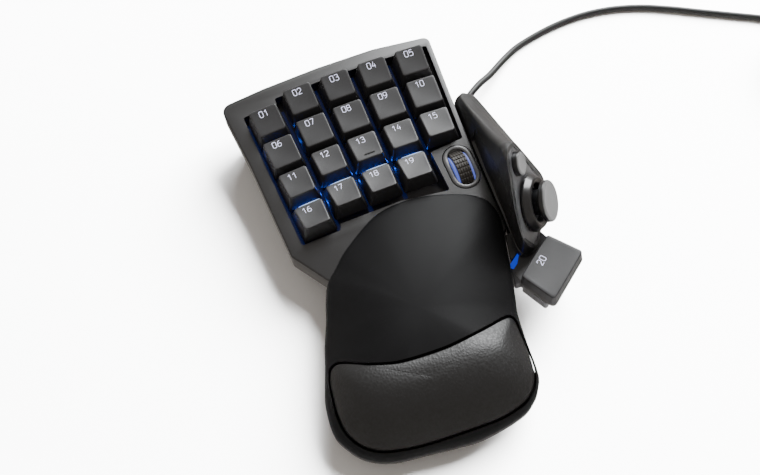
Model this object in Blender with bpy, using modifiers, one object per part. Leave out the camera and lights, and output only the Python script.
"""Gaming keypad: a hand-sized key block with a scroll wheel, a thumb pod and a sliding palm rest.

Metres, +Z up, the table is z = 0. +Y points to the rear, away from the hand.
"""
import math

import bmesh
import bpy
from mathutils import Matrix, Vector

# Place of the key block
# The middle of the key block, seen from the middle of the whole body.
ORIGIN_X = -0.00516
ORIGIN_Y = 0.05718
DECK_HEIGHT = 0.023
DECK_SLOPE = math.radians(4)

# Fits shared by all pieces
FIT = 0.0003
CUT = 0.010
WALL = 0.0020

# Key block
KEY_PITCH = 0.01905
FAN_RADIUS = 0.709
FIRST_COLUMN_DROP = 0.00463
KEY_COLUMNS = (-2, -1, 0, 1, 2)
KEY_ROWS = (0, 1, 2, 3)
KEY_TRAVEL = 0.0035
KEY_GAP = 0.00145
KEY_SKIRT_WIDTH = KEY_PITCH - KEY_GAP
KEY_SKIRT_BASE = 0.0015
KEY_CORNER = 0.0014
KEY_WALL = 0.0012
KEY_TOP_HEIGHT = 0.010
KEY_DRAW = 0.0028
KEY_TOP_WIDTH = KEY_SKIRT_WIDTH - KEY_DRAW
KEY_TOP_LENGTH = KEY_SKIRT_WIDTH - KEY_DRAW
KEY_TOP_ROUND = 0.0005
KEY_CEILING = 0.0016
STEM_RADIUS = 0.0029
STEM_END = -0.0063
# One value for each row, rear row first
ROW_HEIGHT_SHARES = (1.082, 0.948, 0.994, 0.976)
ROW_TILTS = (10.15, 3.37, -4.38, -14.55)
ROW_REAR_WIDTH_SHARES = (0.973, 1.015, 0.989, 0.985)
ROW_FRONT_WIDTH_SHARES = (0.958, 0.984, 0.909, 0.865)
ROW_LENGTH_SHARES = (0.950, 1.049, 0.993, 0.977)
CORNER_ARC_SHARES = (0.0, 0.5, 1.0)

# The well goes round the key block, and the case round the well
WELL_SIDE_ROOM = 0.00575
WELL_END_ROOM = 0.0078
WELL_WIDTH = KEY_PITCH * len(KEY_COLUMNS) + WELL_SIDE_ROOM
WELL_LENGTH = KEY_PITCH * len(KEY_ROWS) + WELL_END_ROOM
CASE_SIDE_LAND = 0.011
CASE_END_LAND = 0.040
CASE_WIDTH = WELL_WIDTH + CASE_SIDE_LAND
CASE_LENGTH = WELL_LENGTH + CASE_END_LAND

# Top case, measured from the deck plane
CASE_CORNER = 0.005
CASE_TOP = 0.004
CASE_RIM = -0.007
CASE_PLATE = 0.002
CASE_WALL = 0.0022
CASE_EDGE_ROUND = 0.0008
# Corner x, corner y, corner radius
CASE_SHARES = (
    (-0.526, 0.355, 1.0),
    (-0.312, 0.373, 6.0),
    (-0.045, 0.381, 8.0),
    (0.223, 0.376, 8.0),
    (0.485, 0.342, 0.7),
    (0.457, 0.047, 6.0),
    (0.437, -0.242, 6.0),
    (0.422, -0.484, 3.0),
    (0.415, -0.613, 0.7),
    (-0.295, -0.613, 0.7),
    (-0.369, -0.537, 2.0),
    (-0.418, -0.468, 2.0),
    (-0.473, -0.392, 0.8),
    (-0.495, 0.046, 6.0),
)

# Key well in the top case
WELL_CORNER = 0.0012
WELL_WALL = 0.0016
WELL_BASE = -0.0022
WELL_SHARES = (
    (-0.494, 0.398, 1.0),
    (-0.313, 0.408, 0.5),
    (-0.313, 0.451, 1.0),
    (0.000, 0.464, 8.0),
    (0.277, 0.457, 8.0),
    (0.507, 0.444, 1.0),
    (0.463, -0.245, 1.0),
    (0.289, -0.262, 0.5),
    (0.294, -0.536, 1.0),
    (0.052, -0.490, 8.0),
    (-0.251, -0.492, 0.5),
    (-0.263, -0.531, 1.0),
    (-0.458, -0.538, 1.0),
)

# Key deck, membrane and main board
DECK_PLATE = 0.002
DECK_MARGIN = 0.0014
SLEEVE_WALL = 0.0011
SLEEVE_TOP = -0.0005
SLEEVE_BASE = -0.0065
MEMBRANE = 0.0006
MEMBRANE_INSET = 0.004
DOME_HEIGHT = 0.0006
DOME_RADIUS = 0.0038
BOARD_THICKNESS = 0.0014
BOARD_INSET = 0.0090
BOARD_REACH = 0.006
BOARD_FRONT = -WELL_LENGTH / 2 - BOARD_REACH

# Lower case
LOWER_INSET = 0.0008
LOWER_DRAW = 0.0080
FLOOR_HEIGHT = 0.002

# Feet
FOOT_RADIUS = 0.006
FOOT_SHARES = ((-0.37, 0.23), (0.32, 0.22), (-0.31, -0.34))

# Case screws: from below through the board into the key deck
SCREW_HEAD_RADIUS = 0.0025
SCREW_HEAD_HEIGHT = 0.0014
SCREW_RADIUS = 0.0012
SCREW_RECESS = 0.0020
SCREW_GRIP = 0.0048
BOSS_WALL = 0.0013
# Between which columns and rows the screws stand
SCREW_GRID = ((-0.5, 0.5), (1.5, 0.5), (-1.5, 2.5))

# Scroll wheel, in deck coordinates
WHEEL_SHIFT_X = 0.0018
WHEEL_SHIFT_Y = 0.006825
WHEEL_X = 2 * KEY_PITCH + WHEEL_SHIFT_X
WHEEL_Y = -1.5 * KEY_PITCH - WHEEL_SHIFT_Y
WHEEL_HEIGHT = -0.0030
WHEEL_RADIUS = 0.0110
TYRE_WIDTH = 0.0054
TYRE_THICKNESS = 0.0020
FLANGE_RADIUS = 0.0096
FLANGE_WIDTH = 0.0014
AXLE_RADIUS = 0.0015
AXLE_LENGTH = 0.0136
BEZEL_WIDTH = 0.0146
BEZEL_LENGTH = 0.0246
BEZEL_DEPTH = 0.0022
BEZEL_LIP = 0.0004
BEZEL_FLARE = 0.0011
SLOT_WIDTH = 0.0092
SLOT_LENGTH = 0.0205
BRACKET_ARM = 0.0012
BRACKET_WIDTH = 0.0060
BRACKET_FLOOR = 0.0008
BRACKET_TOP = 0.0028
BOARD_NOTCH = 0.0024
BAY_CLEARANCE = 0.0012

# Thumb housing: a fin that rises to the front and ends in a slanted panel
PAD_RADIUS = 0.0099
COLLAR_LAND = 0.00385
COLLAR_RADIUS = PAD_RADIUS + COLLAR_LAND
POD_LAND = 0.0025
THUMB_TUCK = 0.010
THUMB_INNER_X = CASE_WIDTH / 2 - THUMB_TUCK
THUMB_WIDTH = 2 * COLLAR_RADIUS + POD_LAND
THUMB_LENGTH = 0.094
THUMB_REAR = 0.0044
THUMB_RISE = 0.0365
THUMB_WALL = 0.0018
THUMB_BASE = 0.004
THUMB_SIDE_LOW = -0.009
THUMB_SIDE_MID = -0.004
THUMB_DRAW = 0.0022
THUMB_FLARE = 0.0005
CREST_ROUND = 0.0020
# Way along the length, inner x, outer x, crest x, crest height, shoulder across the slope, shoulder height
THUMB_SHARES = (
    (0.000, 0.283, 0.483, 0.383, 0.070, 0.50, 0.55),
    (0.011, 0.233, 0.533, 0.350, 0.100, 0.50, 0.55),
    (0.036, 0.187, 0.575, 0.293, 0.153, 0.50, 0.56),
    (0.111, 0.163, 0.625, 0.273, 0.258, 0.50, 0.58),
    (0.206, 0.143, 0.680, 0.260, 0.386, 0.49, 0.60),
    (0.334, 0.120, 0.755, 0.250, 0.564, 0.46, 0.66),
    (0.462, 0.097, 0.830, 0.243, 0.740, 0.42, 0.76),
    (0.545, 0.083, 0.880, 0.237, 0.860, 0.38, 0.86),
    (0.587, 0.077, 0.905, 0.232, 0.935, 0.36, 0.91),
    (0.621, 0.070, 0.925, 0.220, 0.975, 0.36, 0.93),
    (0.653, 0.063, 0.925, 0.205, 0.995, 0.38, 0.94),
    (0.749, 0.053, 0.790, 0.180, 1.000, 0.50, 0.96),
    (0.834, 0.033, 0.645, 0.133, 1.000, 0.60, 0.97),
    (0.898, 0.020, 0.525, 0.100, 1.000, 0.60, 0.97),
    (0.951, 0.010, 0.410, 0.100, 1.000, 0.60, 0.97),
    (0.986, 0.033, 0.283, 0.110, 1.000, 0.50, 0.97),
    (1.000, 0.100, 0.183, 0.130, 1.000, 0.50, 0.97),
)
UNDERCUT_LENGTH = 0.0106
UNDERCUT_REAR = THUMB_REAR - THUMB_LENGTH + UNDERCUT_LENGTH
TOP_ROOM = 0.38

# Slanted panel of the pod and what it carries, in its own frame (z points out of it)
POD_WIDTH_SHARE = 0.4723333333
POD_WAY_SHARE = 0.7993617021
POD_DROP = 0.0065
POD_X = THUMB_INNER_X + THUMB_WIDTH * POD_WIDTH_SHARE
POD_Y = THUMB_REAR - THUMB_LENGTH * POD_WAY_SHARE
POD_HEIGHT = THUMB_RISE - POD_DROP
POD_TURN = math.radians(-31)
POD_LEAN = math.radians(24)
PANEL_THICKNESS = 0.003
COLLAR_HEIGHT = 0.005
COLLAR_BORE = 0.0093
COLLAR_SHOULDER = 0.0120
COLLAR_LIP = 0.0009
PAD_FACE = 0.0103
PAD_RIM = 0.0023
PAD_DISH = 0.0006
PAD_EDGE = 0.0005
NECK_RADIUS = 0.0060
PIVOT_DEPTH = 0.0048
CORE_RADIUS = 0.0054
CORE_HALF = 0.0012
RING_RADIAL = 0.0017
RING_GAP = 0.0010
MOUNT_RADIAL = 0.0019
MOUNT_DEPTH = 0.0031
PIN_RADIUS = 0.0007
PIN_CLEARANCE = 0.0003
BUTTON_X = 0.0087
BUTTON_LAND = 0.00665
BUTTON_Y = COLLAR_RADIUS + BUTTON_LAND
BUTTON_RADIUS = 0.0055
BUTTON_RISE = 0.0030
BUTTON_POCKET = 0.0020
BUTTON_ROUND = 0.0006
BUTTON_TRAVEL = 0.0008
BUTTON_PLUNGER = 0.0012
SWITCH_SIZE = 0.0040
SWITCH_HEIGHT = 0.0012
SWITCH_OFFSET = 0.0008
THUMB_BOARD_SET_IN = 0.0164
THUMB_BOARD_SHORT = 0.0316
THUMB_BOARD_REAR = THUMB_REAR - THUMB_BOARD_SET_IN
THUMB_BOARD_FRONT = THUMB_REAR - THUMB_LENGTH + THUMB_BOARD_SHORT
THUMB_PLATE = 0.002
THUMB_FOOT_WAY_SHARE = 0.5361702128
THUMB_FOOT_Y = THUMB_REAR - THUMB_LENGTH * THUMB_FOOT_WAY_SHARE
THUMB_FOOT_X = THUMB_INNER_X + THUMB_WIDTH / 2

# Wide thumb key and the arm that carries it
THUMB_KEY_OUT = 0.0100
THUMB_KEY_AHEAD = 0.0126
THUMB_KEY_X = THUMB_INNER_X + THUMB_KEY_OUT
THUMB_KEY_Y = THUMB_REAR - THUMB_LENGTH - THUMB_KEY_AHEAD
THUMB_KEY_TOP = 0.026
THUMB_KEY_SKIRT = 0.0070
THUMB_KEY_GAP = 0.0025
THUMB_KEY_LENGTH = 0.0270
THUMB_KEY_WIDTH = 0.0187
THUMB_KEY_ANGLE = math.radians(37.5)
THUMB_KEY_DRAFT = 0.0008
THUMB_KEY_CORNER = 0.0016
THUMB_KEY_TRAVEL = 0.0022
ARM_THICKNESS = 0.0055
ARM_INSET = 0.0004
# Corners of the key top along its length and width
THUMB_KEY_SHARES = (
    (-0.4415, 0.4890),
    (0.4960, 0.4850),
    (0.4940, -0.5020),
    (-0.5635, -0.4980),
)
# The arm's root beside the pod, in shares of the key's length and width
ARM_ROOT_SHARES = (
    (-0.386, 0.468),
    (-0.286, 0.762),
    (0.141, 0.969),
    (0.382, 1.114),
    (0.676, 0.788),
    (0.619, 0.507),
    (0.445, 0.397),
    (-0.045, 0.266),
)
ARM_SHARES = ((0.450, 0.480), (0.450, -0.330), (-0.5635, -0.330), (-0.4415, 0.4890))

# Palm rest: its own axes are r (to the right) and a (towards the user)
PALM_TURN = math.radians(14)
PALM_WIDTH = 0.0962
PALM_LENGTH = 0.1244
PALM_CENTRE_R = 0.0163
PALM_CENTRE_A = 0.1004
PALM_WALL = 0.0025
PALM_BASE = 0.004
PALM_REAR_EDGE = 0.0252
PALM_MID_EDGE = 0.0235
PALM_FRONT_EDGE = 0.0150
PALM_CREST = 0.0330
PALM_MID_SHARE = 0.23
PALM_EDGE_ROUND = 0.0016
PALM_SIDE = 0.0045
PALM_DRAW = 0.0050
PALM_HOLLOW_SHARE = 0.845
PALM_POINTS = 36
PALM_RING_SHARES = (0.95, 0.82, 0.60, 0.30)
PALM_CROWN_SHARE = 2.3
PALM_CLEARANCE = 0.0005
PALM_SHARES = (
    (-0.308, -0.327), (-0.378, -0.248), (-0.420, -0.199), (-0.440, -0.124), (-0.450, -0.048),
    (-0.469, 0.043), (-0.480, 0.125), (-0.496, 0.233), (-0.497, 0.283), (-0.485, 0.350),
    (-0.466, 0.391), (-0.437, 0.420), (-0.393, 0.453), (-0.346, 0.477), (-0.275, 0.495),
    (-0.191, 0.500), (-0.053, 0.489), (0.062, 0.481), (0.203, 0.464), (0.385, 0.408),
    (0.455, 0.358), (0.484, 0.316), (0.497, 0.263), (0.472, 0.138), (0.456, 0.030),
    (0.460, -0.029), (0.465, -0.106), (0.467, -0.235), (0.463, -0.366), (0.424, -0.436),
    (0.384, -0.460), (0.318, -0.482), (0.156, -0.500), (0.008, -0.493), (-0.150, -0.446),
)

# Cushion, in the same axes and shares of the palm rest
CUSHION_SEAT = 0.012
CUSHION_BULGE = 0.0008
CUSHION_CROWN = 0.0034
CUSHION_EDGE_RISE = 0.0006
CUSHION_FIT = 0.0005
CUSHION_POINTS = 44
CUSHION_CROWN_SHARE = 2.4
CUSHION_RING_SHARES = (0.94, 0.84, 0.66, 0.42, 0.18)
CUSHION_SHARES = (
    (-0.467, 0.205), (-0.464, 0.167), (-0.450, 0.142), (-0.418, 0.134), (-0.370, 0.146),
    (-0.306, 0.168), (-0.209, 0.186), (-0.108, 0.190), (0.057, 0.169), (0.148, 0.149),
    (0.237, 0.121), (0.314, 0.089), (0.380, 0.058), (0.413, 0.048), (0.436, 0.060),
    (0.446, 0.086), (0.462, 0.149), (0.476, 0.200), (0.482, 0.245), (0.479, 0.280),
    (0.464, 0.318), (0.436, 0.350), (0.395, 0.378), (0.305, 0.411), (0.214, 0.430),
    (0.120, 0.445), (-0.048, 0.466), (-0.177, 0.474), (-0.276, 0.468), (-0.357, 0.439),
    (-0.421, 0.383), (-0.451, 0.309), (-0.463, 0.233),
)

# Palm base plate with the tongue that slides in the lower case
TONGUE_WIDTH = 0.040
TONGUE_REAR_A = 0.044
TONGUE_FRONT_A = 0.095
TONGUE_THICKNESS = 0.0022
TONGUE_RIB = 0.0015
TONGUE_RIB_FRONT_A = 0.058
TONGUE_SLOT_A = 0.053
PALM_FOOT_SHARES = ((-0.33, 0.36), (0.34, 0.27))

# Cable
CABLE_RADIUS = 0.00175
CABLE_EXIT_SHARE = 0.3933333333
CABLE_EXIT_INSET = 0.0004
CABLE_EXIT_X = THUMB_INNER_X + THUMB_WIDTH * CABLE_EXIT_SHARE
CABLE_EXIT_Y = THUMB_REAR - CABLE_EXIT_INSET
CABLE_EXIT_HEIGHT = 0.011
CABLE_EXIT_TURN = math.radians(48)
CABLE_STEP = 0.008
RELIEF_RADIUS = 0.0030
RELIEF_TIP_RADIUS = 0.0025
RELIEF_INSIDE = 0.004
RELIEF_OUTSIDE = 0.0075
RELIEF_COLLAR_RADIUS = 0.0040
RELIEF_COLLAR = 0.0012
RELIEF_COLLAR_START = 0.0022
# The cable's way from inside the housing to the coil, x, y and height
CABLE_ROUTE = (
    (0.0555, 0.0015, 0.0110), (0.0578, 0.0040, 0.0110), (0.0611, 0.0077, 0.0110),
    (0.0645, 0.0114, 0.0109), (0.0728, 0.0173, 0.0093), (0.0806, 0.0221, 0.0067),
    (0.0935, 0.0312, 0.0034), (0.1051, 0.0370, 0.0020), (0.1248, 0.0411, 0.0018),
    (0.1431, 0.0418, 0.0018), (0.1599, 0.0391, 0.0018), (0.1752, 0.0335, 0.0018),
    (0.1893, 0.0257, 0.0018), (0.2027, 0.0171, 0.0018), (0.2160, 0.0086, 0.0018),
    (0.2293, 0.0001, 0.0018), (0.2400, -0.0073, 0.0019),
)

# Coil of spare cable
COIL_X = 0.2476
COIL_Y = -0.0397
COIL_START = math.radians(59.5)
COIL_OUTER = 0.0243
COIL_PITCH = 0.0042
COIL_LIFT = 0.001
COIL_TURNS = 2.5
COIL_LAST_TURNS = 3.0
COIL_CLIMB_TURNS = 0.25
COIL_LAYERS = 4
LOOP_POINTS = 24
TAIL_LENGTH = 0.048
# Way along the tail and its height above the plug's own height
TAIL_WAY_SHARES = (0.17, 0.34, 0.50, 0.67, 0.84, 0.93, 1.0)
TAIL_HEIGHT_SHARES = (0.90, 0.62, 0.30, 0.08, 0.0, 0.0, 0.0)
TIE_ANGLE = math.radians(-140)
TIE_WIDTH = 0.006
TIE_THICKNESS = 0.0006
TIE_SLACK = 0.0008

# Plug
PLUG_WIDTH = 0.0155
PLUG_HEIGHT = 0.0080
PLUG_LENGTH = 0.021
PLUG_ROUND = 0.0015
SHELL_WIDTH = 0.0120
SHELL_HEIGHT = 0.0045
SHELL_LENGTH = 0.0120
SHELL_WALL = 0.0004

# Segment counts
ROUND = 20
SMALL_ROUND = 10
TINY_ROUND = 8
COARSE_ROUND = 6

for old in list(bpy.data.objects):
    bpy.data.objects.remove(old, do_unlink=True)

parts = bpy.data.collections.new("gaming_keypad")
cutters = bpy.data.collections.new("cutters")
bpy.context.scene.collection.children.link(parts)
bpy.context.scene.collection.children.link(cutters)


def material(name, colour, roughness, metallic=0.0):
    """A plain Principled material."""
    made = bpy.data.materials.new(name)
    made.use_nodes = True
    shader = made.node_tree.nodes["Principled BSDF"]
    shader.inputs["Base Color"].default_value = (*colour, 1.0)
    shader.inputs["Roughness"].default_value = roughness
    shader.inputs["Metallic"].default_value = metallic
    made.diffuse_color = (*colour, 1.0)
    return made


KEY_PLASTIC = material("key_plastic", (0.030, 0.031, 0.034), 0.42)
CASE_PLASTIC = material("case_plastic", (0.026, 0.027, 0.030), 0.48)
LOWER_PLASTIC = material("lower_plastic", (0.016, 0.016, 0.018), 0.60)
GLOSS_PLASTIC = material("gloss_plastic", (0.010, 0.010, 0.011), 0.18)
PANEL_PLASTIC = material("panel_plastic", (0.060, 0.060, 0.062), 0.50)
SOFT_COATING = material("soft_coating", (0.012, 0.012, 0.013), 0.55)
CUSHION_LEATHER = material("cushion_leather", (0.018, 0.018, 0.019), 0.50)
RUBBER = material("rubber", (0.012, 0.012, 0.012), 0.85)
LIGHT_GUIDE = material("light_guide", (0.60, 0.70, 0.90), 0.30)
SILICONE = material("silicone", (0.55, 0.57, 0.60), 0.60)
BOARD_LAMINATE = material("board_laminate", (0.02, 0.09, 0.05), 0.45)
STEEL = material("steel", (0.55, 0.55, 0.56), 0.30, 1.0)
CABLE_JACKET = material("cable_jacket", (0.020, 0.020, 0.021), 0.55)


def frame(name, parent, location, rotation=(0, 0, 0)):
    """An empty that other objects hang from."""
    empty = bpy.data.objects.new(name, None)
    parts.objects.link(empty)
    empty.parent = parent
    empty.location = location
    empty.rotation_euler = rotation
    return empty


ROOT = frame("keypad_frame", None, (ORIGIN_X, ORIGIN_Y, 0))
DECK = frame("deck_frame", ROOT, (0, 0, DECK_HEIGHT), (DECK_SLOPE, 0, 0))
PALM = frame("palm_frame", ROOT, (0, 0, 0), (0, 0, -PALM_TURN))
POD = frame("pod_frame", ROOT, (POD_X, POD_Y, POD_HEIGHT))
POD.rotation_euler = (math.pi / 2 - POD_LEAN, 0, math.pi / 2 + POD_TURN)


def smooth_by_angle(mesh, limit=math.radians(32)):
    """Smooth shading on the round faces, sharp edges where the faces turn by more than the limit."""
    for face in mesh.polygons:
        face.use_smooth = True
    mesh.set_sharp_from_angle(angle=limit)


def add_mesh(name, bm, finish, parent, location=(0, 0, 0), rotation=(0, 0, 0), smooth=False):
    """A mesh object from a bmesh, as a part (with a finish) or as a cutter (without one)."""
    bmesh.ops.recalc_face_normals(bm, faces=bm.faces)
    if bm.calc_volume(signed=True) < 0:
        bmesh.ops.reverse_faces(bm, faces=bm.faces)
    mesh = bpy.data.meshes.new(name)
    bm.to_mesh(mesh)
    bm.free()
    if smooth:
        smooth_by_angle(mesh)
    made = bpy.data.objects.new(name, mesh)
    if finish is None:
        cutters.objects.link(made)
        made.hide_render = True
        made.display_type = "WIRE"
    else:
        parts.objects.link(made)
        mesh.materials.append(finish)
    made.parent = parent
    made.location = location
    made.rotation_euler = rotation
    return made


def loft(rings, closed=False):
    """A skin through rings of equally many points. The ends are filled, or joined where it is closed."""
    bm = bmesh.new()
    loops = [[bm.verts.new(point) for point in ring] for ring in rings]
    count = len(rings[0])
    pairs = list(zip(loops, loops[1:]))
    if closed:
        pairs.append((loops[-1], loops[0]))
    for lower, upper in pairs:
        for i in range(count):
            j = (i + 1) % count
            bm.faces.new((lower[i], lower[j], upper[j], upper[i]))
    if not closed:
        bm.faces.new(loops[0])
        bm.faces.new(loops[-1])
    return bm


def flat_ring(points, height):
    """Points in a plane, or on a slope where the height is a function of x and y."""
    if callable(height):
        return [(x, y, height(x, y)) for x, y in points]
    return [(x, y, height) for x, y in points]


def prism(points, low, high):
    """An upright solid over an outline."""
    return loft([flat_ring(points, low), flat_ring(points, high)])


def box(size, middle):
    """A box from its size and its middle."""
    bm = bmesh.new()
    bmesh.ops.create_cube(bm, size=1.0)
    bmesh.ops.scale(bm, vec=size, verts=bm.verts)
    bmesh.ops.translate(bm, vec=middle, verts=bm.verts)
    return bm


def cylinders(places, radius, low, high, sides=SMALL_ROUND):
    """Upright cylinders at the places, all in one mesh. Low and high may depend on the place."""
    bm = bmesh.new()
    for x, y in places:
        bottom = low(x, y) if callable(low) else low
        top = high(x, y) if callable(high) else high
        middle = Matrix.Translation((x, y, (bottom + top) / 2))
        bmesh.ops.create_cone(
            bm,
            cap_ends=True,
            segments=sides,
            radius1=radius,
            radius2=radius,
            depth=top - bottom,
            matrix=middle,
        )
    return bm


def turned(name, profile, finish, parent, location=(0, 0, 0), rotation=(0, 0, 0), sides=ROUND, closed=False):
    """A turned piece: a profile of radius and height, taken round the z axis by a Screw modifier."""
    around = list(zip(profile, profile[1:] + profile[:1]))
    if sum(a[0] * b[1] - b[0] * a[1] for a, b in around) > 0:
        profile = profile[::-1]
    bm = bmesh.new()
    verts = [bm.verts.new((radius, 0, height)) for radius, height in profile]
    for a, b in zip(verts, verts[1:]):
        bm.edges.new((a, b))
    if closed:
        bm.edges.new((verts[-1], verts[0]))
    mesh = bpy.data.meshes.new(name)
    bm.to_mesh(mesh)
    bm.free()
    mesh.materials.append(finish)
    made = bpy.data.objects.new(name, mesh)
    parts.objects.link(made)
    screw = made.modifiers.new("turn", "SCREW")
    screw.axis = "Z"
    screw.angle = 2 * math.pi
    screw.steps = sides
    screw.render_steps = sides
    screw.use_merge_vertices = True
    screw.merge_threshold = 0.00001
    screw.use_smooth_shade = True
    made.parent = parent
    made.location = location
    made.rotation_euler = rotation
    return made


def boolean(target, operation, cutter):
    """One Boolean step with the exact solver."""
    step = target.modifiers.new(cutter.name, "BOOLEAN")
    step.operation = operation
    step.solver = "EXACT"
    step.object = cutter
    return step


def corner_points(corners, inset=0.0, steps=3):
    """The outline through corners (x, y, radius), each corner rounded, all edges moved in by the inset."""
    count = len(corners)
    area = sum(
        corners[i][0] * corners[(i + 1) % count][1] - corners[(i + 1) % count][0] * corners[i][1]
        for i in range(count)
    )
    side = 1.0 if area > 0 else -1.0
    lines = []
    for i in range(count):
        a = Vector(corners[i][:2])
        b = Vector(corners[(i + 1) % count][:2])
        way = (b - a).normalized()
        normal = Vector((-way.y, way.x)) * side
        lines.append((a + normal * inset, way))
    moved = []
    for i in range(count):
        p, u = lines[i - 1]
        q, v = lines[i]
        cross = u.x * v.y - u.y * v.x
        t = ((q - p).x * v.y - (q - p).y * v.x) / cross
        moved.append(p + u * t)
    points = []
    for i in range(count):
        before = (moved[i - 1] - moved[i]).normalized()
        after = (moved[(i + 1) % count] - moved[i]).normalized()
        turn = (-before).x * after.y - (-before).y * after.x
        convex = turn * side > 0
        radius = corners[i][2] - inset if convex else corners[i][2] + inset
        radius = max(radius, corners[i][2] * 0.25)
        half = before.angle(after) / 2
        reach = radius / math.tan(half)
        room = 0.45 * min((moved[i - 1] - moved[i]).length, (moved[(i + 1) % count] - moved[i]).length)
        if reach > room:
            reach = room
            radius = reach * math.tan(half)
        centre = moved[i] + (before + after).normalized() * (radius / math.sin(half))
        start = moved[i] + before * reach - centre
        finish = moved[i] + after * reach - centre
        sweep = start.angle_signed(finish)
        for k in range(steps + 1):
            angle = -sweep * k / steps
            points.append(
                (
                    centre.x + start.x * math.cos(angle) - start.y * math.sin(angle),
                    centre.y + start.x * math.sin(angle) + start.y * math.cos(angle),
                )
            )
    return points


def corners_from_shares(shares, width, length, corner):
    """Corners in metres from a table of shares."""
    return [(x * width, y * length, r * corner) for x, y, r in shares]


def smooth_loop(points, count):
    """A smooth closed curve through the points, given as equally spaced points."""
    dense = []
    total = len(points)
    fine = 12
    for i in range(total):
        p0, p1, p2, p3 = (Vector(points[(i + k - 1) % total]) for k in range(4))
        for k in range(fine):
            t = k / fine
            dense.append(
                0.5
                * (
                    2 * p1
                    + (p2 - p0) * t
                    + (2 * p0 - 5 * p1 + 4 * p2 - p3) * t**2
                    + (3 * p1 - p0 - 3 * p2 + p3) * t**3
                )
            )
    lengths = [(dense[(i + 1) % len(dense)] - dense[i]).length for i in range(len(dense))]
    whole = sum(lengths)
    result = []
    gone = 0.0
    index = 0
    for k in range(count):
        target = whole * k / count
        while gone + lengths[index] < target:
            gone += lengths[index]
            index += 1
        t = (target - gone) / lengths[index]
        result.append(tuple(dense[index].lerp(dense[(index + 1) % len(dense)], t)))
    return result


def inset_loop(points, distance, limit=2.5):
    """A loop of points moved in by a distance, square to its own run."""
    count = len(points)
    area = sum(
        points[i][0] * points[(i + 1) % count][1] - points[(i + 1) % count][0] * points[i][1]
        for i in range(count)
    )
    side = 1.0 if area > 0 else -1.0
    result = []
    for i in range(count):
        a = Vector(points[i - 1])
        b = Vector(points[i])
        c = Vector(points[(i + 1) % count])
        u = (b - a).normalized()
        v = (c - b).normalized()
        n = (Vector((-u.y, u.x)) + Vector((-v.y, v.x))).normalized() * side
        stretch = min(limit, 1.0 / max(0.2, n.dot(Vector((-u.y, u.x)) * side)))
        result.append(tuple(b + n * distance * stretch))
    return result


def circle(radius, count, start=0.0):
    """Points on a circle."""
    return [
        (radius * math.cos(start + 2 * math.pi * k / count), radius * math.sin(start + 2 * math.pi * k / count))
        for k in range(count)
    ]


def level(height):
    """The deck height at which a level plane above the table cuts the sloping deck frame."""

    def at(x, y):
        return (height - DECK_HEIGHT - y * math.sin(DECK_SLOPE)) / math.cos(DECK_SLOPE)

    return at


# Key places
def fan_place(column, row):
    """A place in the fan of columns and rows, in the deck plane."""
    angle = column * KEY_PITCH / FAN_RADIUS
    radius = FAN_RADIUS + (1.5 - row) * KEY_PITCH
    return radius * math.sin(angle), radius * math.cos(angle) - FAN_RADIUS


def key_place(column, row):
    """Where a key stands in the deck plane and how far it is turned."""
    angle = column * KEY_PITCH / FAN_RADIUS
    radius = FAN_RADIUS + (1.5 - row) * KEY_PITCH
    if column == KEY_COLUMNS[0]:
        radius -= FIRST_COLUMN_DROP
    return radius * math.sin(angle), radius * math.cos(angle) - FAN_RADIUS, -angle


def key_list():
    """Number, column and row of the 19 keys of the block."""
    keys = []
    for row in KEY_ROWS:
        for column in KEY_COLUMNS:
            if row == KEY_ROWS[-1] and column == KEY_COLUMNS[-1]:
                continue
            keys.append((5 * row + column + 3, column, row))
    return keys


def cap_outline(rear_width, front_width, length, corner):
    """A four-cornered outline with rounded corners, three points to a corner."""
    corners = [
        (front_width / 2, -length / 2, corner),
        (rear_width / 2, length / 2, corner),
        (-rear_width / 2, length / 2, corner),
        (-front_width / 2, -length / 2, corner),
    ]
    return corner_points(corners, 0.0, len(CORNER_ARC_SHARES) - 1)


def make_keycap(number, column, row):
    """One sculpted cap: hollow, with its guide stem."""
    x, y, turn = key_place(column, row)
    top = KEY_TOP_HEIGHT * ROW_HEIGHT_SHARES[row]
    slope = math.tan(math.radians(ROW_TILTS[row]))
    rear = KEY_TOP_WIDTH * ROW_REAR_WIDTH_SHARES[row]
    front = KEY_TOP_WIDTH * ROW_FRONT_WIDTH_SHARES[row]
    length = KEY_TOP_LENGTH * ROW_LENGTH_SHARES[row]
    wide = 2 * KEY_TOP_ROUND
    hollow = 2 * KEY_WALL

    def top_plane(drop):
        return lambda px, py: top - drop + py * slope

    skirt = KEY_SKIRT_WIDTH
    rings = [
        flat_ring(cap_outline(rear - wide, front - wide, length - wide, KEY_CORNER), top_plane(0)),
        flat_ring(cap_outline(rear, front, length, KEY_CORNER), top_plane(KEY_TOP_ROUND)),
        flat_ring(cap_outline(skirt, skirt, skirt, KEY_CORNER), KEY_SKIRT_BASE),
        flat_ring(
            cap_outline(skirt - hollow, skirt - hollow, skirt - hollow, KEY_CORNER), KEY_SKIRT_BASE
        ),
        flat_ring(
            cap_outline(rear - hollow, front - hollow, length - hollow, KEY_CORNER), top_plane(KEY_CEILING)
        ),
        flat_ring(stem_ring(), top_plane(KEY_CEILING)),
        flat_ring(stem_ring(), STEM_END),
    ]
    return add_mesh(
        "keycap_%02d" % number, loft(rings), KEY_PLASTIC, DECK, (x, y, 0), (0, 0, turn), smooth=True
    )


def stem_ring():
    """The stem's circle, its points in step with those of a cap outline."""
    per_corner = len(CORNER_ARC_SHARES)
    return circle(STEM_RADIUS, 4 * per_corner, math.radians(-45 - 90 / per_corner))


for number, column, row in key_list():
    make_keycap(number, column, row)

KEY_PLACES = [key_place(column, row)[:2] for number, column, row in key_list()]

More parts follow.
